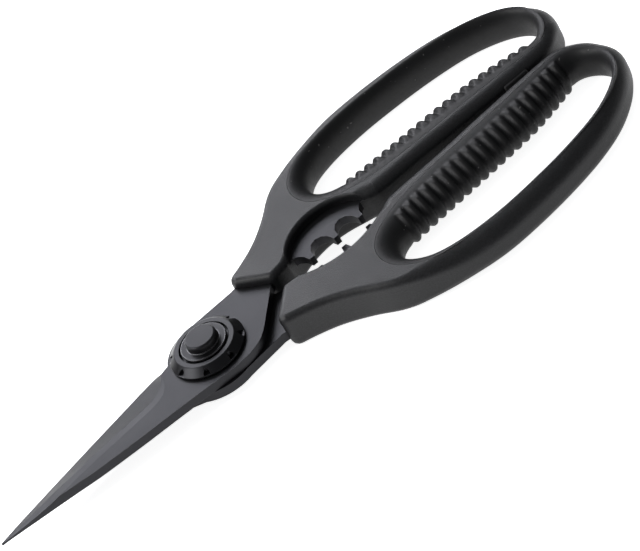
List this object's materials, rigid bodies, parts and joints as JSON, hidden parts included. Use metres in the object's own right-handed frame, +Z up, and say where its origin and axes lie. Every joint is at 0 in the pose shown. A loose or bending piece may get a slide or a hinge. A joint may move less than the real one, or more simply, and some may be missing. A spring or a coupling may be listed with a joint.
{
  "type": "poultry shears",
  "caption": "Slim pointed poultry shears with black blades, a notched tension ring round a push button, scalloped jaws and ribbed soft-lined finger loops.",
  "frame": {"origin": "centre of the bounding box at its lowest level, which is the level the closed shears lie on; the pivot axis stands at x = -0.034125, y = 0", "axes": "+X from the blade tips to the handle ends, +Y towards the handle that carries the upper blade, +Z up along the pivot, away from the surface the shears lie on"},
  "size_m": [0.2356, 0.0986, 0.0154],
  "materials": {
    "coated_blade_steel": "black hard coat, satin",
    "hard_handle_plastic": "fine-grained matte black",
    "soft_grip_rubber": "soft-touch matte black",
    "buffer_rubber": "matte black",
    "black_pivot_metal": "black, satin, polished edges",
    "bare_steel": "plain",
    "bush_bronze": "turned",
    "washer_nylon": "natural white"
  },
  "bodies": {
    "lower_half": {"lower_blade": "coated_blade_steel", "near_handle": "hard_handle_plastic", "near_grip": "soft_grip_rubber", "near_buffer": "buffer_rubber", "pivot_stud": "bare_steel", "blade_washer": "washer_nylon", "spring_washer": "bare_steel", "button_spring": "bare_steel"},
    "upper_half": {"upper_blade": "coated_blade_steel", "far_handle": "hard_handle_plastic", "far_grip": "soft_grip_rubber", "far_buffer": "buffer_rubber", "pivot_bush": "bush_bronze"},
    "ring": {"tension_ring": "black_pivot_metal"},
    "button": {"release_button": "black_pivot_metal", "button_screw": "bare_steel"}
  },
  "joints": [
    {"name": "blade_pivot", "type": "hinge", "parent": "lower_half", "child": "upper_half", "pos_m": [-0.03413, 0, 0.00615], "axis": [0, 0, 1], "range_deg": [0, 60]},
    {"name": "ring_turn", "type": "hinge", "parent": "lower_half", "child": "ring", "pos_m": [-0.03413, 0, 0.0108], "axis": [0, 0, 1], "range_deg": [-180, 180]},
    {"name": "button_press", "type": "slide", "parent": "lower_half", "child": "button", "axis": [0, 0, -1], "range_m": [0, 0.0007], "stiffness_N_per_m": 1200, "springref_m": -0.002, "deforming": ["button_spring"]}
  ]
}
